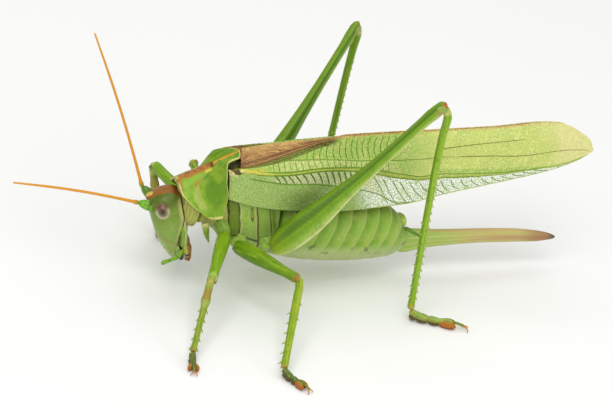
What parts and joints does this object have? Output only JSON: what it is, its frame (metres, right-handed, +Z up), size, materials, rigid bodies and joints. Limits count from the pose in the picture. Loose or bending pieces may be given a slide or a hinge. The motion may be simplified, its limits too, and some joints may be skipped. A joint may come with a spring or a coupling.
{
  "type": "great green bush-cricket",
  "caption": "Life-size still model of a female great green bush-cricket with long folded wings and a blade-like ovipositor, standing on its feet",
  "frame": {"origin": "middle of the box round the whole animal, on the floor that its feet stand on", "axes": "+X towards the tail and the tips of the wings, -Y the animal's left side, +Z up"},
  "size_m": [0.0868, 0.0458, 0.0358],
  "materials": {
    "leg_skin": "smooth bright yellow-green leg skin with a soft sheen",
    "foot_skin": "olive-brown foot with orange-brown pads and claws",
    "head_skin": "sage green head with an orange-brown crown",
    "neck_skin": "pale wrinkled neck skin",
    "pronotum_skin": "green saddle with an orange-brown middle stripe",
    "body_skin": "green body plates with dark joints",
    "abdomen_skin": "soft green belly skin with pinkish cream bands",
    "ovipositor": "horny blade, green at its root and brown at its tip",
    "forewing": "green netted membrane, brown along the back",
    "hindwing": "thin pale green pleated membrane",
    "eye": "pale pinkish eye with a soft dark centre",
    "feeler": "orange ringed feeler, green at its root",
    "jaw": "green jaw with black-brown biting edge",
    "mouthpart": "pale green and yellow mouthparts"
  },
  "bodies": {
    "root": {"abdomen": "abdomen_skin", "antenna_left": "feeler", "antenna_right": "feeler", "cercus_left": "body_skin", "cercus_right": "body_skin", "eye_left": "eye", "eye_right": "eye", "front_coxa_left": "leg_skin", "front_coxa_right": "leg_skin", "front_femur_left": "leg_skin", "front_femur_right": "leg_skin", "front_tarsus_left": "foot_skin", "front_tarsus_right": "foot_skin", "front_tibia_left": "leg_skin", "front_tibia_right": "leg_skin", "head": "head_skin", "hind_coxa_left": "leg_skin", "hind_coxa_right": "leg_skin", "hind_femur_left": "leg_skin", "hind_femur_right": "leg_skin", "hind_tarsus_left": "foot_skin", "hind_tarsus_right": "foot_skin", "hind_tibia_left": "leg_skin", "hind_tibia_right": "leg_skin", "hindwing_left": "hindwing", "hindwing_right": "hindwing", "labial_palp_left": "mouthpart", "labial_palp_right": "mouthpart", "labrum": "mouthpart", "mandible_left": "jaw", "mandible_right": "jaw", "maxilla_left": "mouthpart", "maxilla_right": "mouthpart", "maxillary_palp_left": "mouthpart", "maxillary_palp_right": "mouthpart", "mid_coxa_left": "leg_skin", "mid_coxa_right": "leg_skin", "mid_femur_left": "leg_skin", "mid_femur_right": "leg_skin", "mid_tarsus_left": "foot_skin", "mid_tarsus_right": "foot_skin", "mid_tibia_left": "leg_skin", "mid_tibia_right": "leg_skin", "neck": "neck_skin", "ovipositor": "ovipositor", "pronotum": "pronotum_skin", "tegmen_left": "forewing", "tegmen_right": "forewing", "thorax": "body_skin"}
  },
  "joints": []
}
